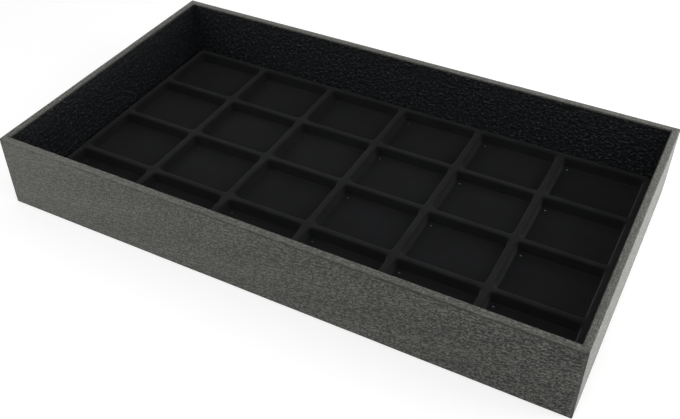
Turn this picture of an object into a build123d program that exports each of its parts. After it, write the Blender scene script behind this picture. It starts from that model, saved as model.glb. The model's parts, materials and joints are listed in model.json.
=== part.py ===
from build123d import *
from math import radians, tan
import os

# Open display tray of covered boards with a loose compartment insert.
# Millimetres. X runs along the tray, -Y is the front, +Z is up.
# The origin is the centre of the underside.

# Overall size
tray_length = 374.65
tray_width = 209.55
tray_height = 50.8

# Sheets and boards
wrap_thickness = 0.5
wall_board_thickness = 3.6
base_board_thickness = 2.5
lining_thickness = 0.5
bottom_cover_thickness = 0.5

# Leatherette
wrap_turn_down = 12.0
wrap_turn_under = 14.0
seam_from_corner = 1.5
corner_round = 0.9
rim_round = 0.45

# Linings
lining_below_rim = 1.0
cover_inset = 3.0

# Compartment insert, loose in the tray and lying a little off its centre
insert_gap_x = 2.825
insert_gap_y = 1.25
insert_shift_x = 0.65
insert_shift_y = 0.8
insert_height = 8.5
insert_sheet = 1.0
skirt_draft = 3.0
skirt_lift = 0.5
skirt_corner_round = 5.0

# Cells of the insert
columns = 6
rows = 4
border_rib = 4.2
column_rib = 5.0
row_rib = 4.3
cell_draft = 8.0
cell_floor_round = 1.5
cell_corner_over_floor = 0.3
crest_round = 1.5

# Two lengths closer than this are one place
same_place = 0.0001

# Places worked out from the sizes
half_length = tray_length / 2
half_width = tray_width / 2
board_outside = wrap_thickness
board_inside = wrap_thickness + wall_board_thickness
turn_inside = board_inside + wrap_thickness
wall_total = turn_inside + lining_thickness
board_foot = bottom_cover_thickness + wrap_thickness
board_top = tray_height - wrap_thickness
base_top = board_foot + base_board_thickness
floor_top = base_top + lining_thickness
lining_top = tray_height - lining_below_rim
turn_down_end = tray_height - wrap_turn_down
insert_length = tray_length - 2 * (wall_total + insert_gap_x)
insert_width = tray_width - 2 * (wall_total + insert_gap_y)
insert_top = floor_top + insert_height
skirt_foot = floor_top + skirt_lift
skirt_lean = (insert_top - skirt_foot) * tan(radians(skirt_draft))
cell_floor = floor_top + insert_sheet
cell_depth = insert_top - cell_floor
cell_lean = cell_depth * tan(radians(cell_draft))
cell_corner_round = cell_floor_round + cell_corner_over_floor + cell_lean
cells_length = insert_length - 2 * (skirt_lean + border_rib)
cells_width = insert_width - 2 * (skirt_lean + border_rib)
column_pitch = (cells_length + column_rib) / columns
row_pitch = (cells_width + row_rib) / rows


def block(x0, x1, y0, y1, z0, z1):
    """A box between two corners."""
    corner = Align.MIN
    return Pos(x0, y0, z0) * Box(x1 - x0, y1 - y0, z1 - z0, align=(corner, corner, corner))


def turned(solid):
    """The same solid turned half round, for the opposite side."""
    return Rot(0, 0, 180) * solid


def edges_along(solid, axis, test):
    """The edges along an axis whose middle point passes the test."""
    return ShapeList(e for e in solid.edges().filter_by(axis) if test(e.center()))


def near(a, b):
    """Whether two lengths are the same place."""
    return abs(a - b) < same_place


def long_wall_board():
    """Front wall board, the full length inside the wrap."""
    x = half_length - board_outside
    y = half_width
    return block(-x, x, -y + board_outside, -y + board_inside, board_foot, board_top)


def end_wall_board():
    """Left wall board, butted between the long boards."""
    x = half_length
    y = half_width - board_inside
    return block(-x + board_outside, -x + board_inside, -y, y, board_foot, board_top)


def base_board():
    """Bottom board inside the four walls."""
    x = half_length - board_inside
    y = half_width - board_inside
    return block(-x, x, -y, y, board_foot, base_top)


def long_wrap():
    """Front leatherette: outside face, over the rim, down inside and under the base."""
    x = half_length - seam_from_corner
    inner_x = half_length - turn_inside
    y = -half_width
    under = bottom_cover_thickness
    face = block(-x, x, y, y + wrap_thickness, under, tray_height)
    rim = block(-x, x, y, y + turn_inside, board_top, tray_height)
    inside = block(-inner_x, inner_x, y + board_inside, y + turn_inside, turn_down_end, tray_height)
    below = block(-x, x, y, y + wrap_turn_under, under, board_foot)
    wrap = face + rim + inside + below
    outer = edges_along(wrap, Axis.X, lambda c: near(c.Y, y))
    wrap = fillet(outer, corner_round)
    inner = edges_along(wrap, Axis.X, lambda c: near(c.Y, y + turn_inside) and near(c.Z, tray_height))
    return fillet(inner, rim_round)


def end_wrap():
    """Left leatherette: as the front one, and turned round the upright corners up to the seams."""
    x = -half_length
    y = half_width
    under = bottom_cover_thickness
    rim_y = half_width - turn_inside
    below_y = half_width - wrap_turn_under
    seam = seam_from_corner
    face = block(x, x + wrap_thickness, -y, y, under, tray_height)
    rim = block(x, x + turn_inside, -rim_y, rim_y, board_top, tray_height)
    inside = block(x + board_inside, x + turn_inside, -rim_y, rim_y, turn_down_end, tray_height)
    below = block(x, x + wrap_turn_under, -below_y, below_y, under, board_foot)
    wrap = face + rim + inside + below
    for side in (-1, 1):
        outer = side * y
        ear = sorted((outer, outer - side * wrap_thickness))
        over_rim = sorted((outer, side * rim_y))
        under_base = sorted((outer, side * below_y))
        wrap += block(x, x + seam, *ear, under, tray_height)
        wrap += block(x, x + seam, *over_rim, board_top, tray_height)
        wrap += block(x, x + seam, *under_base, under, board_foot)
    upright = edges_along(wrap, Axis.Z, lambda c: near(c.X, x) and near(abs(c.Y), y))
    along = edges_along(wrap, Axis.Y, lambda c: near(c.X, x))
    ends = edges_along(wrap, Axis.X, lambda c: near(abs(c.Y), y))
    wrap = fillet(upright + along + ends, corner_round)
    inner = edges_along(wrap, Axis.Y, lambda c: near(c.X, x + turn_inside) and near(c.Z, tray_height))
    return fillet(inner, rim_round)


def long_lining():
    """Front lining panel: on the board below, and thinner over the turned-down leatherette."""
    x = half_length - wall_total
    y = -half_width
    low = block(-x, x, y + board_inside, y + wall_total, base_top, turn_down_end)
    high = block(-x, x, y + turn_inside, y + wall_total, turn_down_end, lining_top)
    return low + high


def end_lining():
    """Left lining panel, between the long boards and closed in by the long linings."""
    x = -half_length
    low_y = half_width - board_inside
    high_y = half_width - turn_inside
    low = block(x + board_inside, x + wall_total, -low_y, low_y, base_top, turn_down_end)
    high = block(x + turn_inside, x + wall_total, -high_y, high_y, turn_down_end, lining_top)
    return low + high


def floor_lining():
    """Lining of the floor, inside the four wall linings."""
    x = half_length - wall_total
    y = half_width - wall_total
    return block(-x, x, -y, y, base_top, floor_top)


def bottom_cover():
    """Sheet under the tray, thicker in the field between the turned-under leatherette."""
    x = half_length - cover_inset
    y = half_width - cover_inset
    field_x = half_length - wrap_turn_under
    field_y = half_width - wrap_turn_under
    sheet = block(-x, x, -y, y, 0, bottom_cover_thickness)
    return sheet + block(-field_x, field_x, -field_y, field_y, 0, board_foot)


def tapered(length, width, corner, top, bottom, draft):
    """A tapered block that hangs from a rounded rectangle, widest at its top."""
    outline = Pos(0, 0, top) * RectangleRounded(length, width, corner)
    return extrude(outline, amount=bottom - top, taper=draft)


def cell_centres():
    """Centres of the cells about the centre of the insert."""
    for column in range(columns):
        for row in range(rows):
            x = (column - (columns - 1) / 2) * column_pitch
            y = (row - (rows - 1) / 2) * row_pitch
            yield x, y


def cell_solid(grow, bottom):
    """The space of one cell, or its cup where the sheet is added all round."""
    length = column_pitch - column_rib + 2 * grow
    width = row_pitch - row_rib + 2 * grow
    body = tapered(length, width, cell_corner_round + grow, insert_top, bottom, cell_draft)
    foot = body.faces().sort_by(Axis.Z)[0]
    return fillet(foot.edges(), cell_floor_round + grow)


def skirt_solid(inset, top):
    """The block inside the skirt, from its foot up, widest at its foot."""
    length = insert_length - 2 * inset
    width = insert_width - 2 * inset
    outline = Pos(0, 0, skirt_foot) * RectangleRounded(length, width, skirt_corner_round - inset)
    return extrude(outline, amount=top - skirt_foot, taper=skirt_draft)


def compartment_insert():
    """One formed sheet: a skirt, crossed ribs and a cup for each cell."""
    shell = skirt_solid(0, insert_top) - skirt_solid(insert_sheet, insert_top - insert_sheet)
    cup = cell_solid(insert_sheet, floor_top)
    space = cell_solid(0, cell_floor)
    cups = [Pos(x, y, 0) * cup for x, y in cell_centres()]
    spaces = [Pos(x, y, 0) * space for x, y in cell_centres()]
    sheet = shell + cups - spaces
    crest = ShapeList(e for e in sheet.edges() if near(e.center().Z, insert_top))
    sheet = fillet(crest, crest_round)
    return Pos(insert_shift_x, insert_shift_y, 0) * sheet


def main():
    os.makedirs("parts", exist_ok=True)
    parts = {
        "base_board": base_board(),
        "floor_lining": floor_lining(),
        "bottom_cover": bottom_cover(),
        "compartment_insert": compartment_insert(),
    }
    opposite_sides = [
        ("front_wall_board", "back_wall_board", long_wall_board()),
        ("left_wall_board", "right_wall_board", end_wall_board()),
        ("front_wrap", "back_wrap", long_wrap()),
        ("left_wrap", "right_wrap", end_wrap()),
        ("front_lining", "back_lining", long_lining()),
        ("left_lining", "right_lining", end_lining()),
    ]
    for one, other, part in opposite_sides:
        parts[one] = part
        parts[other] = turned(part)
    for name, part in parts.items():
        export_step(part, f"parts/{name}.step")


main()
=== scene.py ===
import json
import math

import bmesh
import bpy
import numpy as np
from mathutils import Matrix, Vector, noise

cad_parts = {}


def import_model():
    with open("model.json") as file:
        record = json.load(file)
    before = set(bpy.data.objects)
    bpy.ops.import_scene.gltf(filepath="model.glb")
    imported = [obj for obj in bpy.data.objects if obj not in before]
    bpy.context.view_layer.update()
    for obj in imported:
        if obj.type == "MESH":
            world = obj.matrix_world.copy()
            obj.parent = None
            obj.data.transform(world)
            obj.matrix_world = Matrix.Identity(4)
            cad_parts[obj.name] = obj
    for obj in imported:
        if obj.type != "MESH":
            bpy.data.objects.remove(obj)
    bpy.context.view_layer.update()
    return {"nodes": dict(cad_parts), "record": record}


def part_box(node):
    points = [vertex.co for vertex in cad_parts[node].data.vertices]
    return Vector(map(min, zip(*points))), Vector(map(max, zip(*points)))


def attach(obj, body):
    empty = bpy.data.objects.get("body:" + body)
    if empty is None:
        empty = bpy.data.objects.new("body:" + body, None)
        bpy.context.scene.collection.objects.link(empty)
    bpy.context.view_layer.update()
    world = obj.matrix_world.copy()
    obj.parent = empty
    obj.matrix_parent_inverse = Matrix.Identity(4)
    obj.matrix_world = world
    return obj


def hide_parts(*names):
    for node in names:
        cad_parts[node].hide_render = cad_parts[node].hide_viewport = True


# Looks of the open display tray. Metres, in the frame of the CAD model:
# X runs along the tray, -Y is the front, +Z is up.
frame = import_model()

# Places that the CAD nodes give
left_low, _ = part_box("left_wrap")
front_low, front_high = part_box("front_wrap")
board_low, board_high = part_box("front_wall_board")
lining_low, lining_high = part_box("front_lining")
floor_low, floor_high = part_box("floor_lining")
cover_low, cover_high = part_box("bottom_cover")
insert_low, insert_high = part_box("compartment_insert")
half_length = -left_low.x
half_width = -front_low.y
height = front_high.z
foot = front_low.z
wrap_gauge = board_low.y - front_low.y
rim_width = board_high.y + wrap_gauge - front_low.y
turned_under = front_high.y - front_low.y
seam = half_length - front_high.x
lining_depth = lining_high.y - front_low.y

# Walls: their outward direction, their distance from the centre and how far they run each way
walls = {
    "front": {"outward": (0, -1), "distance": half_width, "run": half_length},
    "back": {"outward": (0, 1), "distance": half_width, "run": half_length},
    "left": {"outward": (-1, 0), "distance": half_length, "run": half_width},
    "right": {"outward": (1, 0), "distance": half_length, "run": half_width},
}
long_walls = ("front", "back")

# Leatherette sheets
turn_down = 0.012
corner_radius = 0.0006
rim_radius = 0.00045
wrap_sheet = 0.00035
wrap_step = 0.0015

# The foot's fold hangs a little below the sheet that is turned under
foot_hang = 0.0004
foot_hang_reach = 0.0025
foot_fold = foot - foot_hang

# Slow waves of the leatherette: how deep, and how long along the wall, through it and up
wrap_wave = 0.00012
wrap_wave_lengths = (0.030, 0.008, 0.006)

# How deep the grain is, from 0 to 1, at the left and right: on the outer face, then on the rim
# The same share sets the painted shade in the grain's valleys. On the front it rises to the right,
# standing in for grazing light.
grain_and_shade_levels = {
    "front": ((0.40, 1.0), (0.40, 0.68)),
    "back": ((0.5, 0.5), (0.25, 0.6)),
    "left": ((0.5, 0.5), (0.65, 0.65)),
    "right": ((0.50, 0.50), (0.45, 0.45)),
}

# Distance over which a mark on the rim fades down the face
rim_reach = 0.0004

# Painted highlights of the leatherette, along the rim's outer fold and at the seams: how much, from 0 to
# 1, and the distance over which it fades
rim_highlight = 0.35
rim_highlight_reach = 0.0011
seam_highlight = 0.25
seam_highlight_reach = 0.0004

# Uneven patches of the painted highlights: how many a metre, their middle level and their swing about it
highlight_patches = 160
highlight_level = 0.6
highlight_swing = 0.8

# Painted shade and darker places of the leatherette: how much, with its swing in uneven patches, and the
# distance over which it fades. The line of painted shade lies under the rim's fold, with painted shade
# also at the foot and on the rim towards the right; the upright corners and the rim's tips are darker.
# Their patches are counted a metre.
shaded_line = height - 0.0011
line_shade = 0.55
line_shade_to_right = 0.8
line_shade_swing = 0.6
foot_shade = 0.9
line_reach = 0.0006
corner_darkening = 0.8
corner_darkening_swing = 0.5
corner_reach = 0.0009
tip_darkening = 0.9
tip_reach = 0.0015
rim_shade_at_right = 0.16
darkening_patches = 210

# Extra lines of points for marks that fade within one step: above the foot, below the line of painted
# shade under the rim's fold and inward from a long wall's seam
foot_extra = (0.0007, 0.0014)
shaded_line_extra = (-0.0003, 0, 0.0004, 0.0008, 0.0011)
seam_extra = (0, 0.0002, 0.0005)

# Linings
lining_sheet = 0.0004
lining_wave = 0.00018
lining_wave_lengths = (0.007, 0.007, 0.006)
lining_step = 0.0015

# Top edges of the linings: how far down they wander, how often along the wall, and the power of the
# height with which the wandering dies away below them
lining_edge_wander = 0.00025
lining_edge_frequency = 90
lining_edge_power = 4

# Level sheets under the insert and under the tray. Their waves are a share of their gauge.
cover_sheet = 0.0005
level_wave_share = 0.25
level_step = 0.006

# Insert
formed_sheet = 0.001
cell_floor = insert_low.z + formed_sheet
column_rib = 0.0050
row_rib = 0.0043
border_rib = 0.0042
crest_radius = 0.0015
floor_radius = 0.0008
cell_corner = 0.00285
skirt_corner = 0.0050
skirt_lift = 0.0005
cell_draft = math.radians(8)
skirt_draft = math.radians(3)
insert_sheet = 0.0009
insert_wave = 0.00008
cell_step = 0.0035

# Waves of the level sheets and of the insert, along each axis
slow_wave_lengths = (0.02, 0.02, 0.02)

# Painted highlights of the flock: on the crests, and in the crease just above each cell's floor, in
# uneven patches as those along the leatherette's rim
crest_reach = 0.0006
crease_height = 0.0002
crease_reach = 0.0003
flock_highlight_patches = 70
flock_highlight_level = 0.7
flock_highlight_swing = 0.5

# Pips in the cells' corners that carry a painted glint, smaller towards the left where the glints fade. A
# ring is (its share of the length and width, its share of the height).
pip_from_edge = 0.0039
pip_length = 0.0010
pip_width = 0.0005
pip_height = 0.0003
pip_size_at_left = 0.4
pip_sides = 12
pip_rings = [(1.0, -0.4), (0.95, 0.15), (0.75, 0.6), (0.4, 0.92)]

# Edges of a thickened sheet that stay crisp, in degrees between their faces
sheet_crease = 40
insert_crease = 60

# Points closer than this are one point, steps are counted to this share of a step, and the centres
# of cells have this many decimals
same_place = 1e-6
same_count = 1e-6
centre_decimals = 5

# Lines of points on each side of a fold, and in an arc of the insert's profile
fold_steps = 4
arc_points = 6

# Places of points down a wall that ends in no floor, as shares of its height
skirt_stops = (0.25, 0.5, 0.75, 1.0)

# Noise in the meshes
fractal_dimension = 1.0
fractal_octaves = 3
sheet_lacunarity = 2.1
edge_lacunarity = 2.0

# How far the noise's start moves for each seed: along each axis, and for the linings' edges
seed_places = (17.3, 5.1, 9.7)
edge_seed_place = 3.7

# Axes of a point given as (depth from a wall's outer face, along the wall, up)
depth_axis = 0
along_axis = 1
up_axis = 2


# Meshes


def stations(marks, step):
    """Places from the first mark to the last, every mark among them, and no gap over step."""
    marks = sorted(marks)
    places = [marks[0]]
    for a, b in zip(marks, marks[1:]):
        count = max(1, math.ceil((b - a) / step - same_count))
        places += [a + (b - a) * k / count for k in range(1, count + 1)]
    return np.array(places)


def across(fold, radius):
    """Marks across a rounded fold."""
    return [fold + radius * k / fold_steps for k in range(-fold_steps, fold_steps + 1)]


def soften(points, planes, radius):
    """Rounds the edges and corners where planes of a sharp box meet. A plane is (axis, place, sign)."""
    reach = np.zeros_like(points)
    centre = points.copy()
    for axis, place, sign in planes:
        over = radius - (place - points[..., axis]) * sign
        close = over > 0
        reach[..., axis][close] = over[close] * sign
        centre[..., axis][close] = place - sign * radius
    edge = (reach != 0).sum(axis=-1) > 1
    length = np.linalg.norm(reach[edge], axis=-1, keepdims=True)
    points[edge] = centre[edge] + reach[edge] * radius / length


def placed(local, wall):
    """Points given as (depth, along, up) of a wall, in the frame."""
    out_x, out_y = walls[wall]["outward"]
    out = walls[wall]["distance"] - local[..., depth_axis]
    along = local[..., along_axis]
    x = out_x * out - out_y * along
    y = out_y * out + out_x * along
    return np.stack([x, y, local[..., up_axis]], axis=-1)


def linked(name, data):
    """A new object for a mesh, lamp or camera, linked to the scene."""
    made = bpy.data.objects.new(name, data)
    bpy.context.scene.collection.objects.link(made)
    return made


def grid_object(name, points, unrolled, keep=None):
    """A mesh of the quads of a grid of points, with UVs in metres. Points in one place are joined."""
    rows, columns = points.shape[:2]
    index = np.arange(rows * columns).reshape(rows, columns)
    quads = np.stack([index[:-1, :-1], index[1:, :-1], index[1:, 1:], index[:-1, 1:]], axis=-1)
    quads = quads.reshape(-1, 4) if keep is None else quads[keep]
    mesh = bpy.data.meshes.new(name)
    mesh.from_pydata(points.reshape(-1, 3).tolist(), [], quads.tolist())
    uv = mesh.uv_layers.new(name="UVMap")
    uv.data.foreach_set("uv", unrolled.reshape(-1, 2)[quads].astype(np.float32).ravel())
    shaped = bmesh.new()
    shaped.from_mesh(mesh)
    bmesh.ops.delete(shaped, geom=[v for v in shaped.verts if not v.link_faces], context="VERTS")
    bmesh.ops.remove_doubles(shaped, verts=shaped.verts, dist=same_place)
    shaped.to_mesh(mesh)
    shaped.free()
    return linked(name, mesh)


def read(made, field):
    """A field of three numbers of a mesh's vertices, as an array."""
    vertices = made.data.vertices
    values = np.empty(len(vertices) * 3, np.float32)
    vertices.foreach_get(field, values)
    return values.reshape(-1, 3).astype(float)


def fractal(places, start, lacunarity):
    """Fractal noise about 0 for each place, counted from start."""
    places = [Vector(place) + start for place in places]
    return np.array([noise.fractal(p, fractal_dimension, lacunarity, fractal_octaves) for p in places])


def patches(points, frequency):
    """Smooth noise about 0 for each point. frequency is in patches a metre."""
    return np.array([noise.noise(Vector(p) * frequency) for p in points])


def fade(distance, reach):
    """1 at no distance, and smoothly down to nothing past about twice reach."""
    return np.exp(-((distance / reach) ** 2))


def sink(made, amount, lengths, seed):
    """Moves a sheet's points inward by smooth noise, from nothing to amount.

    lengths are those of the noise's waves along each axis.
    """
    points = read(made, "co")
    normals = read(made, "normal")
    start = Vector([seed * place for place in seed_places])
    depth = fractal(points / np.array(lengths), start, sheet_lacunarity)
    points -= normals * (amount * np.clip(0.5 + 0.5 * depth, 0, 1))[:, None]
    made.data.vertices.foreach_set("co", points.astype(np.float32).ravel())
    made.data.update()


def thicken(made, gauge, crease=sheet_crease):
    """Gives a sheet its gauge behind its face, and keeps edges sharper than crease degrees crisp."""
    modifier = made.modifiers.new("gauge", "SOLIDIFY")
    modifier.thickness = gauge
    modifier.offset = -1
    solid = made.evaluated_get(bpy.context.evaluated_depsgraph_get())
    flat = made.data
    made.data = bpy.data.meshes.new_from_object(solid)
    made.modifiers.clear()
    bpy.data.meshes.remove(flat)
    made.data.polygons.foreach_set("use_smooth", np.ones(len(made.data.polygons), bool))
    made.data.set_sharp_from_angle(angle=math.radians(crease))


def mark(made, name, share):
    """Stores a share from 0 to 1 for each point."""
    marks = made.data.attributes.new(name, "FLOAT", "POINT")
    marks.data.foreach_set("value", np.clip(share, 0, 1).astype(np.float32))


def dress(made, finish, body, slot, *nodes):
    """Gives a piece its material and its body, and hides the CAD nodes it stands for. The record slot is
    not used.
    """
    made.data.materials.clear()
    made.data.materials.append(finish)
    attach(made, body)
    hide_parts(*nodes)


# Materials


class Finish:
    """A procedural material with one Principled shader, and short calls that add nodes to it."""

    def __init__(self, name, constants):
        self.material = bpy.data.materials.new(name)
        self.material.use_nodes = True
        self.tree = self.material.node_tree
        self.shader = self.tree.nodes["Principled BSDF"]
        for socket, value in constants.items():
            self.shader.inputs[socket].default_value = value

    def node(self, kind, feeds, settings=None):
        """A new node with its settings, and with its inputs fed."""
        made = self.tree.nodes.new(kind)
        for key, value in (settings or {}).items():
            setattr(made, key, value)
        for socket, value in feeds.items():
            self.feed(made.inputs[socket], value)
        return made

    def feed(self, socket, value):
        """Links an input to another node's output, or sets it to a value."""
        if isinstance(value, bpy.types.NodeSocket):
            self.tree.links.new(value, socket)
        else:
            socket.default_value = value

    def coordinates(self, source, size, turn=0.0):
        """UV or Object coordinates, turned in the sheet and divided by a size in metres for each axis."""
        place = self.node("ShaderNodeTexCoord", {}).outputs[source]
        feeds = {"Vector": place, "Scale": size, "Rotation": (0.0, 0.0, turn)}
        return self.node("ShaderNodeMapping", feeds, {"vector_type": "TEXTURE"}).outputs[0]

    def noise(self, source, size, detail, turn=0.0, roughness=0.55, distortion=0.0):
        """Noise from 0 to 1 with waves of about a size in metres along each axis."""
        feeds = {
            "Vector": self.coordinates(source, size, turn),
            "Scale": 1.0,
            "Detail": detail,
            "Roughness": roughness,
            "Distortion": distortion,
        }
        return self.node("ShaderNodeTexNoise", feeds).outputs[0]

    def ripples(self, apart, turn, bends, amount):
        """Winding ripples in the sheet: 0 in their valleys and 1 on their crests.

        They lie this far apart and at this turn. bends is the size of their bends along each axis,
        and amount is how far they bend, counted in ripples.
        """
        valley = -0.65
        crest = 0.1
        place = self.coordinates("UV", (apart, apart, apart), turn)
        level = self.node("ShaderNodeSeparateXYZ", {"Vector": place}).outputs["Y"]
        bend = self.maths("MULTIPLY", self.noise("UV", bends, detail=1.0, turn=turn), amount)
        turns = self.maths("MULTIPLY", self.maths("ADD", level, bend), 2 * math.pi)
        return self.spread(self.maths("SINE", turns, 0.0), valley, crest)

    def spread(self, value, low, high, to_low=0.0, to_high=1.0):
        """A value between low and high, stretched to lie between to_low and to_high."""
        feeds = {"Value": value, "From Min": low, "From Max": high, "To Min": to_low, "To Max": to_high}
        return self.node("ShaderNodeMapRange", feeds).outputs[0]

    def maths(self, operation, a, b):
        """One Math node."""
        return self.node("ShaderNodeMath", {0: a, 1: b}, {"operation": operation}).outputs[0]

    def blend(self, share, a, b):
        """Colour a where share is 0, and colour b where it is 1.

        The colours of a Mix node are its inputs 6 and 7 and its output 2.
        """
        feeds = {0: share, 6: a, 7: b}
        return self.node("ShaderNodeMix", feeds, {"data_type": "RGBA"}).outputs[2]

    def bump(self, relief, distance, under=None):
        """A normal for a relief of this many metres, over another bump if there is one."""
        feeds = {"Height": relief, "Distance": distance}
        if under is not None:
            feeds["Normal"] = under
        return self.node("ShaderNodeBump", feeds).outputs[0]

    def carried(self, name):
        """A mark of the mesh, from 0 to 1: a painted highlight, painted shade with darker corners and
        tips, or the grain's depth with the painted shade in its valleys.
        """
        return self.node("ShaderNodeAttribute", {}, {"attribute_name": name}).outputs["Fac"]

    def end(self, colour, roughness, normal):
        """Feeds the shader and gives the material."""
        self.feed(self.shader.inputs["Base Color"], colour)
        self.feed(self.shader.inputs["Roughness"], roughness)
        self.feed(self.shader.inputs["Normal"], normal)
        return self.material


def leatherette():
    """Dark grey sheet embossed with winding ripples, a fine tooth, a slow mottle, painted shade in the
    valleys, and painted highlights and shade where the mesh marks them.
    """
    mottle_dark = (0.114, 0.115, 0.100, 1)
    mottle_pale = (0.126, 0.126, 0.110, 1)
    valley_shade_black = (0.002, 0.002, 0.002, 1)
    highlight_grey = (0.20, 0.20, 0.19, 1)
    darkening_brown = (0.016, 0.014, 0.012, 1)
    constants = {"Specular IOR Level": 0.22, "Coat Weight": 0.32, "Coat Roughness": 0.28}
    finish = Finish("leatherette", constants)
    ripples = finish.ripples(apart=0.0024, turn=0.20, bends=(0.0031, 0.0022, 1.0), amount=3.0)
    breaks = finish.noise("UV", (0.0017, 0.0014, 1.0), detail=1.0)
    tooth = finish.noise("UV", (0.0007, 0.0005, 1.0), detail=2.0)
    mottle = finish.noise("UV", (0.030, 0.018, 1.0), detail=4.0)
    grain_and_shade_depth = finish.carried("grain_and_shade_depth")
    grain = finish.maths("MULTIPLY", ripples, finish.spread(breaks, 0.38, 0.52, to_low=0.3))
    embossed = finish.bump(finish.maths("MULTIPLY", grain, grain_and_shade_depth), distance=0.00062)
    normal = finish.bump(tooth, distance=0.00010, under=embossed)
    raised = finish.blend(finish.spread(mottle, 0.35, 0.7), mottle_dark, mottle_pale)
    # Painted shade: the ripples' valleys go black as far as the grain is marked
    valleys = finish.blend(grain_and_shade_depth, raised, valley_shade_black)
    tone = finish.blend(grain, valleys, raised)
    # Painted highlights along the rim's outer fold and at the seams
    highlighted = finish.blend(finish.carried("painted_highlight"), tone, highlight_grey)
    # Painted shade under the rim's fold, at the foot and on the rim, and darker corners and tips
    colour = finish.blend(finish.carried("painted_shade_and_darkening"), highlighted, darkening_brown)
    roughness = finish.spread(grain, 0.0, 1.0, to_low=0.75, to_high=0.45)
    return finish.end(colour, roughness, normal)


def lining_paper():
    """Black crinkled paper with painted shade in its folds and small painted blue-grey glints."""
    fold_shade_black = (0.0008, 0.0009, 0.0010, 1)
    crest_black = (0.0080, 0.0086, 0.0100, 1)
    glint_grey = (0.046, 0.053, 0.067, 1)
    dull_black = (0.0060, 0.0064, 0.0074, 1)
    finish = Finish("lining_paper", {"Specular IOR Level": 0.22})
    crinkles = finish.noise("UV", (0.0023, 0.0025, 1.0), detail=2.0, distortion=0.4)
    specks = finish.noise("UV", (0.0020, 0.0016, 1.0), detail=1.0)
    shade = finish.noise("UV", (0.020, 0.015, 1.0), detail=3.0)
    raised = finish.spread(crinkles, 0.36, 0.64)
    glints = finish.spread(specks, 0.54, 0.68)
    normal = finish.bump(finish.maths("ADD", raised, glints), distance=0.00040)
    # Painted shade in the crinkles' folds
    dark = finish.blend(raised, fold_shade_black, crest_black)
    # Painted glints on the crinkles' crests
    spotted = finish.blend(finish.maths("MULTIPLY", glints, raised), dark, glint_grey)
    colour = finish.blend(finish.spread(shade, 0.3, 0.8, to_high=0.3), spotted, dull_black)
    roughness = finish.spread(raised, 0.0, 1.0, to_low=0.7, to_high=0.42)
    return finish.end(colour, roughness, normal)


def flock():
    """Black flock, with painted highlights on its crests and in its creases."""
    nap_dark = (0.0050, 0.0052, 0.0057, 1)
    nap_pale = (0.0104, 0.0108, 0.0118, 1)
    drift_grey = (0.0100, 0.0104, 0.0113, 1)
    flock_highlight_grey = (0.0160, 0.0164, 0.0172, 1)
    constants = {"Specular IOR Level": 0.03, "Sheen Weight": 0.10, "Sheen Roughness": 0.45}
    finish = Finish("flocked_sheet", constants)
    fibres = finish.noise("Object", (0.0004, 0.0004, 0.0004), detail=2.0, roughness=0.7)
    drift = finish.noise("Object", (0.022, 0.018, 0.020), detail=4.0, roughness=0.6)
    nap = finish.blend(fibres, nap_dark, nap_pale)
    drifted = finish.blend(finish.spread(drift, 0.35, 0.7), nap, drift_grey)
    # Painted highlights on the crests and in the creases round the floors
    colour = finish.blend(finish.carried("painted_highlight"), drifted, flock_highlight_grey)
    roughness = finish.spread(fibres, 0.2, 0.8, to_low=0.85)
    return finish.end(colour, roughness, finish.bump(fibres, distance=0.00012))


def glint_plastic():
    """Dark grey glossy plastic for the pips, far paler than the flock: a painted glint in each cell's
    corner.
    """
    dark = (0.05, 0.05, 0.053, 1)
    pale = (0.10, 0.10, 0.106, 1)
    finish = Finish("glint_plastic", {"Specular IOR Level": 0.5})
    spots = finish.noise("Object", (0.0005, 0.0005, 0.0005), detail=2.0)
    # Painted glint: the pips are far paler than the flock round them
    colour = finish.blend(spots, dark, pale)
    roughness = finish.spread(spots, 0.3, 0.7, to_low=0.2, to_high=0.4)
    return finish.end(colour, roughness, finish.bump(spots, distance=0.00004))


def base_paper():
    """Matt black paper under the tray, with long fibres and faint stains."""
    fibre_dark = (0.013, 0.013, 0.013, 1)
    fibre_pale = (0.030, 0.030, 0.029, 1)
    stain_grey = (0.034, 0.033, 0.031, 1)
    finish = Finish("base_paper", {"Specular IOR Level": 0.25})
    fibre_size = (0.0030, 0.0012, 0.0030)
    fibres = finish.noise("Object", fibre_size, detail=5.0, roughness=0.65, distortion=0.8)
    stains = finish.noise("Object", (0.07, 0.05, 0.07), detail=4.0)
    tone = finish.blend(fibres, fibre_dark, fibre_pale)
    colour = finish.blend(finish.spread(stains, 0.4, 0.8), tone, stain_grey)
    roughness = finish.spread(fibres, 0.3, 0.7, to_low=0.8, to_high=0.95)
    return finish.end(colour, roughness, finish.bump(fibres, distance=0.00008))


def fibreboard():
    """Raw brown board of pressed strands, with darker specks."""
    strand_dark = (0.30, 0.20, 0.115, 1)
    strand_pale = (0.56, 0.42, 0.27, 1)
    speck_brown = (0.16, 0.10, 0.06, 1)
    finish = Finish("board", {"Specular IOR Level": 0.2})
    strands = finish.noise("Object", (0.0020, 0.0012, 0.0006), detail=6.0, roughness=0.7)
    specks = finish.noise("Object", (0.0009, 0.0009, 0.0009), detail=2.0)
    tone = finish.blend(strands, strand_dark, strand_pale)
    colour = finish.blend(finish.spread(specks, 0.62, 0.75), tone, speck_brown)
    roughness = finish.spread(strands, 0.3, 0.7, to_low=0.75, to_high=0.9)
    return finish.end(colour, roughness, finish.bump(strands, distance=0.0001))


# Leatherette of the walls


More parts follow.
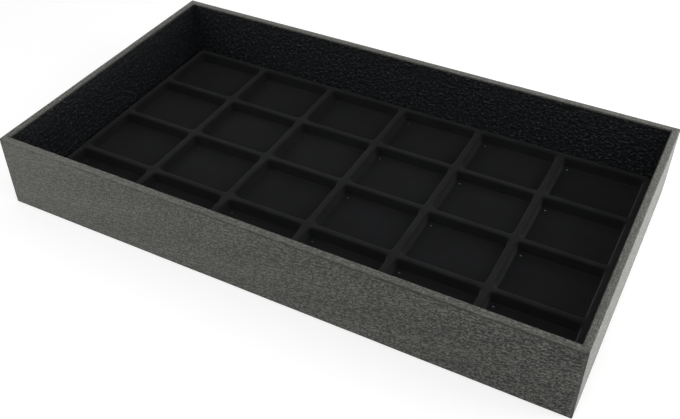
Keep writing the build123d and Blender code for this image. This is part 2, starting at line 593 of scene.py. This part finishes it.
def wrap_grid(wall):
    """Grids of a wrap's unrolled places: along the wall, and around its folds as folded() takes them."""
    run = walls[wall]["run"]
    inner_run = run - rim_width
    inner_fold = height + rim_width
    around = [foot_fold - turned_under, foot_fold - foot_hang_reach, foot_fold - seam]
    around += across(foot_fold, corner_radius)
    around += [foot + extra for extra in foot_extra]
    around += [shaded_line - extra for extra in shaded_line_extra]
    around += across(height, corner_radius)
    around += [height + seam, *across(inner_fold, rim_radius), inner_fold + turn_down]
    if wall in long_walls:
        along = [inner_run]
        along += [run - seam - extra for extra in seam_extra]
    else:
        along = [inner_run, run - turned_under, run + seam]
        along += across(run, corner_radius)
    both_ways = [side * place for side in (-1, 1) for place in along]
    return np.meshgrid(stations(both_ways, wrap_step), stations(around, wrap_step), indexing="ij")


def folded(along, around, run):
    """Unrolled places of a wrap as (depth from the outer face, along the wall, up) on the sharp box.

    around is the height on the outer face, and goes on over the rim and down inside, or below the
    foot and under the base. Past run, the wrap goes round the upright corner.
    """
    over_rim = np.clip(around - height, 0, rim_width)
    down_inside = np.maximum(around - height - rim_width, 0)
    under = np.maximum(foot_fold - around, 0)
    round_corner = np.maximum(np.abs(along) - run, 0)
    up = np.clip(around, foot_fold, height) - down_inside
    up += foot_hang * np.clip(under / foot_hang_reach, 0, 1)
    return np.stack([over_rim + under + round_corner, np.clip(along, -run, run), up], axis=-1)


def wrap_kept(along, around, wall):
    """Which quads of a wrap's grid are sheet: not those beyond its cuts at the corners."""
    run = walls[wall]["run"]
    inner_run = run - rim_width
    middle_along = np.abs((along[:-1, :-1] + along[1:, 1:]) / 2)
    middle_around = (around[:-1, :-1] + around[1:, 1:]) / 2
    past_rim = middle_around - height
    past_foot = foot_fold - middle_around
    if wall in long_walls:
        return (past_rim < rim_width) | (middle_along < inner_run)
    keep = (middle_along < run) | ((past_rim < 0) & (past_foot < 0))
    keep &= (past_rim < seam) | (middle_along < inner_run)
    keep &= (past_foot < seam) | (middle_along < run - turned_under)
    return keep


def wrap(wall, seed):
    """Leatherette of one wall, as one sheet folded over the rim, down inside and under the base.

    Those of the end walls also turn round the upright corners up to the seams.
    """
    run = walls[wall]["run"]
    along, around = wrap_grid(wall)
    local = folded(along, around, run)
    top = (up_axis, height, 1)
    outer_planes = [(depth_axis, 0, -1), top, (up_axis, foot_fold, -1)]
    lengths = wrap_wave_lengths
    if wall not in long_walls:
        outer_planes += [(along_axis, run, 1), (along_axis, -run, -1)]
        lengths = (lengths[1], lengths[0], lengths[2])
    soften(local, outer_planes, corner_radius)
    soften(local, [(depth_axis, rim_width, 1), top], rim_radius)
    unrolled = np.stack([along + seed, around], axis=-1)
    kept = wrap_kept(along, around, wall)
    made = grid_object(f"{wall}_leatherette", placed(local, wall), unrolled, kept)
    sink(made, wrap_wave, lengths, seed)
    paint_edge_highlights(made, wall)
    painted_shade_and_darkening(made)
    mark_grain_and_shade(made, wall)
    thicken(made, wrap_sheet)
    return made


def beyond_walls(points):
    """How far each point lies beyond the outer faces, along X and along Y."""
    return np.abs(points[:, :2]) - np.array([half_length, half_width])


def paint_edge_highlights(made, wall):
    """Marks a painted highlight at each point: along the rim's outer fold and at the seams."""
    points = read(made, "co")
    to_rim_fold = np.hypot(np.max(beyond_walls(points), axis=1), points[:, 2] - height)
    uneven = highlight_level + highlight_swing * patches(points, highlight_patches)
    highlight_share = rim_highlight * fade(to_rim_fold, rim_highlight_reach) * uneven
    if wall in long_walls:
        to_seam = np.abs(half_length - seam - np.abs(points[:, 0]))
        highlight_share += seam_highlight * fade(to_seam, seam_highlight_reach)
    mark(made, "painted_highlight", highlight_share)


def painted_shade_and_darkening(made):
    """Marks painted shade under the rim's fold, on the rim and at the foot, and darker upright corners
    and rim tips.
    """
    points = read(made, "co")
    up = points[:, 2]
    beyond = beyond_walls(points)
    to_corner = np.linalg.norm(beyond, axis=1)
    to_right = np.clip((points[:, 0] + half_length) / (2 * half_length), 0, 1)
    patchy = patches(points, darkening_patches)
    # Painted shade under the rim's fold, stronger to the right, and painted shadow at the foot
    line_share = line_shade + line_shade_to_right * to_right + line_shade_swing * patchy
    below_rim = line_share * fade(shaded_line - up, line_reach)
    at_foot = foot_shade * fade(up - foot, line_reach)
    at_corner = (corner_darkening + corner_darkening_swing * patchy) * fade(to_corner, corner_reach)
    at_tip = tip_darkening * fade(np.hypot(to_corner, up - height), tip_reach)
    # Painted shade on the rim, deeper towards the right
    on_rim = rim_shade_at_right * to_right * fade(up - height, rim_reach)
    outer = np.max(beyond, axis=1) > -wrap_gauge
    mark(made, "painted_shade_and_darkening", np.where(outer, below_rim + at_foot + at_corner, 0) + at_tip + on_rim)


def mark_grain_and_shade(made, wall):
    """Marks the grain's depth and the painted shade in its valleys, from the left to the right of a wall,
    as the table of grain levels at the top gives them.
    """
    points = read(made, "co")
    ends = [-half_length, half_length]
    on_face, on_rim = (np.interp(points[:, 0], ends, depths) for depths in grain_and_shade_levels[wall])
    rim = fade(points[:, 2] - height, rim_reach)
    mark(made, "grain_and_shade_depth", on_face * (1 - rim) + on_rim * rim)


# Linings and level sheets


def lining(wall, seed):
    """Crinkled lining of one wall, with its top edge wandering a little below the rim."""
    end = walls[wall]["run"] - lining_depth
    along = stations([-end, end], lining_step)[::-1]
    up = stations([lining_low.z, lining_high.z], lining_step)
    grid_along, grid_up = np.meshgrid(along, up, indexing="ij")
    share = (grid_up - lining_low.z) / (lining_high.z - lining_low.z)
    places = [(place * lining_edge_frequency, 0, 0) for place in along]
    wander = fractal(places, Vector((0, seed * edge_seed_place, 0)), edge_lacunarity)
    grid_up = grid_up - lining_edge_wander * (0.5 + 0.5 * wander[:, None]) * share**lining_edge_power
    local = np.stack([np.full_like(grid_up, lining_depth), grid_along, grid_up], axis=-1)
    unrolled = np.stack([grid_along + seed, grid_up], axis=-1)
    made = grid_object(f"{wall}_crinkled_lining", placed(local, wall), unrolled)
    sink(made, lining_wave, lining_wave_lengths, seed)
    thicken(made, lining_sheet)
    return made


def level_sheet(name, low, high, face_up, gauge, seed):
    """A level sheet between two corners, at the top of them if it faces up and else at their foot."""
    xs = stations([low.x, high.x], level_step)
    ys = stations([low.y, high.y], level_step)
    grid_x, grid_y = np.meshgrid(xs if face_up else xs[::-1], ys, indexing="ij")
    grid_z = np.full_like(grid_x, high.z if face_up else low.z)
    points = np.stack([grid_x, grid_y, grid_z], axis=-1)
    made = grid_object(name, points, np.stack([grid_x, grid_y], axis=-1))
    sink(made, gauge * level_wave_share, slow_wave_lengths, seed)
    thicken(made, gauge)
    return made


# Insert


def edge_profile(radius, draft, depth, fillet=0):
    """Round of a top edge and the drafted wall below it: (outward offsets, drops) from the sharp edge.

    The wall goes down to depth, and ends there in a floor if it has a fillet.
    """
    bend = math.tan((math.pi / 2 - draft) / 2)
    turns = np.linspace(math.pi / 2, draft, arc_points)
    offsets = list(-radius * bend + radius * np.cos(turns))
    drops = list(radius - radius * np.sin(turns))
    wall_top = drops[-1]
    if fillet:
        fillet_start = fillet * (1 - math.sin(draft))
        wall_middle = (wall_top + depth - fillet_start) / 2
        turns = np.linspace(draft, math.pi / 2, arc_points)
        offsets.append(wall_middle * math.tan(draft))
        drops.append(wall_middle)
        offsets += list(depth * math.tan(draft) + fillet * bend - fillet * np.cos(turns))
        drops += list(depth - fillet + fillet * np.sin(turns))
    else:
        for share in skirt_stops:
            drop = wall_top + (depth - wall_top) * share
            offsets.append(drop * math.tan(draft))
            drops.append(drop)
    return np.array(offsets), np.array(drops)


def cell_places():
    """Centres of the columns and rows of cells, from the record's boxes of free space."""
    openings = frame["record"]["physics"]["openings"]
    boxes = [opening["box_m"] for opening in openings if opening["name"].startswith("cell")]
    places = []
    for axis in (0, 1):
        centres = {round((low[axis] + high[axis]) / 2, centre_decimals) for low, high in boxes}
        places.append(sorted(centres))
    return places


def rounded_square(dx, dy, share):
    """How far offsets move from a square corner onto quarter rings, by a share of the way."""
    in_corner = (dx > 0) & (dy > 0)
    length = np.where(in_corner, np.hypot(dx, dy), 1)
    pull = np.where(in_corner, np.maximum(dx, dy) / length - 1, 0) * share
    return dx * pull, dy * pull


def insert_line(centres, half_cell, middle, half_top, cell_offsets, skirt_offsets):
    """Places of the insert's grid along one axis: over the skirt, the border, the cells and the ribs."""
    marks = [middle + side * (half_top + offset) for side in (-1, 1) for offset in skirt_offsets]
    marks += [middle + side * (half_top - border_rib / 2) for side in (-1, 1)]
    for centre in centres:
        marks += [centre + side * (half_cell - offset) for side in (-1, 1) for offset in cell_offsets]
    marks += [(a + b) / 2 for a, b in zip(centres, centres[1:])]
    return stations(marks, cell_step)


def nearest(places, centres):
    """The centre that is nearest to each place."""
    centres = np.array(centres)
    return centres[np.abs(places[..., None] - centres).argmin(axis=-1)]


def insert_sheet_object():
    """The formed sheet: skirt, ribs and cups, as one grid drawn into round-cornered rings."""
    columns, rows = cell_places()
    pitch_x = (columns[-1] - columns[0]) / (len(columns) - 1)
    pitch_y = (rows[-1] - rows[0]) / (len(rows) - 1)
    half_cell = np.array([(pitch_x - column_rib) / 2, (pitch_y - row_rib) / 2])
    middle = np.array([(insert_low.x + insert_high.x) / 2, (insert_low.y + insert_high.y) / 2])
    skirt_depth = insert_high.z - insert_low.z - skirt_lift
    skirt_lean = skirt_depth * math.tan(skirt_draft)
    half_top = np.array([insert_high.x, insert_high.y]) - middle - skirt_lean
    cell_depth = insert_high.z - cell_floor
    cell_offsets, cell_drops = edge_profile(crest_radius, cell_draft, cell_depth, floor_radius)
    skirt_offsets, skirt_drops = edge_profile(crest_radius, skirt_draft, skirt_depth)
    xs = insert_line(columns, half_cell[0], middle[0], half_top[0], cell_offsets, skirt_offsets)
    ys = insert_line(rows, half_cell[1], middle[1], half_top[1], cell_offsets, skirt_offsets)
    grid_x, grid_y = np.meshgrid(xs, ys, indexing="ij")

    # Each point's place in the nearest cell and about the whole sheet
    from_x = grid_x - nearest(grid_x, columns)
    from_y = grid_y - nearest(grid_y, rows)
    out_x = grid_x - middle[0]
    out_y = grid_y - middle[1]
    into_cell = np.minimum(half_cell[0] - np.abs(from_x), half_cell[1] - np.abs(from_y))
    past_skirt = np.maximum(np.abs(out_x) - half_top[0], np.abs(out_y) - half_top[1])
    drop = np.interp(into_cell, cell_offsets, cell_drops)
    drop += np.interp(past_skirt, skirt_offsets, skirt_drops)

    # Cells' corner rings fade out over the flat crests, and so do the skirt's
    cell_flat = min(row_rib, border_rib) / 2 + cell_offsets[0]
    cell_share = np.clip(1 - (cell_offsets[0] - into_cell) / cell_flat, 0, 1)
    corner = half_cell - cell_corner
    move_x, move_y = rounded_square(np.abs(from_x) - corner[0], np.abs(from_y) - corner[1], cell_share)
    skirt_flat = border_rib + cell_offsets[0] + skirt_offsets[0]
    skirt_share = np.clip(1 - (skirt_offsets[0] - past_skirt) / skirt_flat, 0, 1)
    corner = half_top - (skirt_corner - skirt_lean)
    turn_x, turn_y = rounded_square(np.abs(out_x) - corner[0], np.abs(out_y) - corner[1], skirt_share)
    x = grid_x + np.sign(from_x) * move_x + np.sign(out_x) * turn_x
    y = grid_y + np.sign(from_y) * move_y + np.sign(out_y) * turn_y
    points = np.stack([x, y, insert_high.z - drop], axis=-1)
    made = grid_object("flocked_insert", points, np.stack([grid_x, grid_y], axis=-1))
    sink(made, insert_wave, slow_wave_lengths, seed=3)
    paint_flock_highlights(made)
    thicken(made, insert_sheet, insert_crease)
    return made


def paint_flock_highlights(made):
    """Marks painted highlights of the flock: on the crests and in the creases round the floors."""
    points = read(made, "co")
    on_crest = fade(insert_high.z - points[:, 2], crest_reach)
    above_floor = points[:, 2] - cell_floor
    in_crease = np.where(above_floor > 0, fade(above_floor - crease_height, crease_reach), 0)
    uneven = flock_highlight_level + flock_highlight_swing * patches(points, flock_highlight_patches)
    mark(made, "painted_highlight", (on_crest + in_crease) * uneven)


def pip(x, y, size, first):
    """Points and faces of one pip, a low closed dome. Its points are counted from first."""
    length, width, rise = pip_length * size, pip_width * size, pip_height * size
    points = []
    for wide, high in pip_rings:
        for turn in np.linspace(0, 2 * math.pi, pip_sides + 1)[:-1]:
            along = x + wide * length * math.cos(turn)
            over = y + wide * width * math.sin(turn)
            points.append((along, over, cell_floor + high * rise))
    points.append((x, y, cell_floor + rise))
    sides = range(pip_sides)
    faces = []
    for ring in range(len(pip_rings) - 1):
        low = first + ring * pip_sides
        up = low + pip_sides
        faces += [(low + k, low + (k + 1) % pip_sides, up + (k + 1) % pip_sides, up + k) for k in sides]
    top = first + (len(pip_rings) - 1) * pip_sides
    faces += [(top + k, top + (k + 1) % pip_sides, top + pip_sides) for k in sides]
    faces.append(tuple(first + k for k in reversed(sides)))
    return points, faces


def corner_glint_pips():
    """A small pale pip in the back left corner of each cell's floor, a painted glint of the corner.

    They are smaller towards the left.
    """
    columns, rows = cell_places()
    reach_x = (columns[1] - columns[0] - column_rib) / 2 - pip_from_edge
    reach_y = (rows[1] - rows[0] - row_rib) / 2 - pip_from_edge
    points, faces = [], []
    for column in columns:
        size = np.interp(column - reach_x, [columns[0], columns[-1]], [pip_size_at_left, 1.0])
        for row in rows:
            more_points, more_faces = pip(column - reach_x, row + reach_y, size, len(points))
            points += more_points
            faces += more_faces
    mesh = bpy.data.meshes.new("corner_glint_pips")
    mesh.from_pydata(points, [], faces)
    mesh.polygons.foreach_set("use_smooth", np.ones(len(faces), bool))
    return linked("corner_glint_pips", mesh)


# Pieces of the tray and of the insert
leather = leatherette()
paper = lining_paper()
for seed, wall in enumerate(walls, start=1):
    dress(wrap(wall, seed), leather, "tray", "leatherette", f"{wall}_wrap")
    dress(lining(wall, seed), paper, "tray", "lining_paper", f"{wall}_lining")
floor_paper = level_sheet("floor_paper", floor_low, floor_high, True, lining_sheet, seed=5)
dress(floor_paper, paper, "tray", "lining_paper", "floor_lining")
base_sheet = level_sheet("base_sheet", cover_low, cover_high, False, cover_sheet, seed=6)
dress(base_sheet, base_paper(), "tray", "base_paper", "bottom_cover")
dress(insert_sheet_object(), flock(), "insert", "flocked_sheet", "compartment_insert")
dress(corner_glint_pips(), glint_plastic(), "insert", "flocked_sheet")

# Boards, which keep their CAD shape
board = fibreboard()
for node in ("front_wall_board", "back_wall_board", "left_wall_board", "right_wall_board", "base_board"):
    frame["nodes"][node].data.materials.clear()
    frame["nodes"][node].data.materials.append(board)

# Stage floor: how far it reaches from the centre, its grey, and how strongly it glows where seen
floor_reach = 6.0
floor_grey = 0.60
floor_glow = 0.55

# Level of the world's light on the part
ambient = 0.42

# Lamps, as softbox() takes them
softboxes = {
    "low_card": {
        "place": (0.60, 0.20, 0.04),
        "target": (0.18, 0, 0.03),
        "size": (0.50, 0.07),
        "power": 3.8,
    },
    "right": {
        "place": (0.60, 0.10, 0.45),
        "target": (0, 0, 0.01),
        "size": (0.4, 0.3),
        "power": 0.8,
    },
    "front_left": {
        "place": (-0.42, -0.45, 0.33),
        "target": (-0.1, -0.1, 0.03),
        "size": (0.3, 0.3),
        "power": 0.6,
    },
    "top": {
        "place": (0.12, -0.45, 0.90),
        "target": (0, 0, 0),
        "size": (0.7, 0.7),
        "power": 3.0,
    },
    "back": {
        "place": (0.10, 0.85, 0.55),
        "target": (0, 0.05, 0.03),
        "size": (0.7, 0.4),
        "power": 1.2,
    },
}

# Camera. Its sensor and lens are in millimetres.
camera_sensor = 36
camera_lens = 47.206
camera_shift = (0.0032, -0.0009)
camera_place = (0.21139, -0.40687, 0.37696)
camera_forward = (-0.35608, 0.67511, -0.64609)


def facing(direction):
    """The turn of a lamp or camera that looks in a direction."""
    return Vector(direction).to_track_quat("-Z", "Y").to_euler()


def maths_node(tree, operation, a, b):
    """The output of one Math node. a is a socket, and b is a socket or a number."""
    made = tree.nodes.new("ShaderNodeMath")
    made.operation = operation
    tree.links.new(a, made.inputs[0])
    if isinstance(b, bpy.types.NodeSocket):
        tree.links.new(b, made.inputs[1])
    else:
        made.inputs[1].default_value = b
    return made.outputs[0]


def seen_strength(tree, strength):
    """A strength for camera, glossy and transmission rays, and nothing for the others."""
    path = tree.nodes.new("ShaderNodeLightPath")
    seen = path.outputs["Is Camera Ray"]
    for kind in ("Is Glossy Ray", "Is Transmission Ray"):
        seen = maths_node(tree, "MAXIMUM", seen, path.outputs[kind])
    return maths_node(tree, "MULTIPLY", seen, strength)


def stage_floor():
    """A pale floor: white where the camera or a reflection sees it, and it keeps a soft shadow."""
    corners = [(x * floor_reach, y * floor_reach, 0) for x, y in ((-1, -1), (1, -1), (1, 1), (-1, 1))]
    mesh = bpy.data.meshes.new("stage_floor")
    mesh.from_pydata(corners, [], [(0, 1, 2, 3)])
    made = linked("stage_floor", mesh)
    material = bpy.data.materials.new("stage_floor")
    material.use_nodes = True
    tree = material.node_tree
    tree.nodes.clear()
    out = tree.nodes.new("ShaderNodeOutputMaterial")
    matt = tree.nodes.new("ShaderNodeBsdfDiffuse")
    matt.inputs["Color"].default_value = (floor_grey, floor_grey, floor_grey, 1)
    glow = tree.nodes.new("ShaderNodeEmission")
    both = tree.nodes.new("ShaderNodeAddShader")
    tree.links.new(seen_strength(tree, floor_glow), glow.inputs["Strength"])
    tree.links.new(matt.outputs[0], both.inputs[0])
    tree.links.new(glow.outputs[0], both.inputs[1])
    tree.links.new(both.outputs[0], out.inputs["Surface"])
    mesh.materials.append(material)


def world():
    """White for the camera and reflections, and a plain ambient level for the rest."""
    made = bpy.data.worlds.new("studio")
    made.use_nodes = True
    tree = made.node_tree
    background = tree.nodes["Background"]
    background.inputs["Color"].default_value = (1, 1, 1, 1)
    strength = maths_node(tree, "ADD", seen_strength(tree, 1.0 - ambient), ambient)
    tree.links.new(strength, background.inputs["Strength"])
    bpy.context.scene.world = made


def softbox(name, place, target, size, power):
    """A rectangular lamp at a place, facing a target. size is in metres and power in watts."""
    data = bpy.data.lights.new(name, "AREA")
    data.shape = "RECTANGLE"
    data.size, data.size_y = size
    data.energy = power
    made = linked(name, data)
    made.location = place
    made.rotation_euler = facing(Vector(target) - Vector(place))
    made.visible_camera = False


def camera():
    """The camera at the photograph's view."""
    data = bpy.data.cameras.new("camera")
    data.sensor_width = camera_sensor
    data.lens = camera_lens
    data.shift_x, data.shift_y = camera_shift
    made = linked("camera", data)
    made.location = camera_place
    made.rotation_euler = facing(camera_forward)
    bpy.context.scene.camera = made


stage_floor()
world()
for name, lamp in softboxes.items():
    softbox(name, **lamp)
camera()
bpy.context.scene.view_settings.view_transform = "Standard"
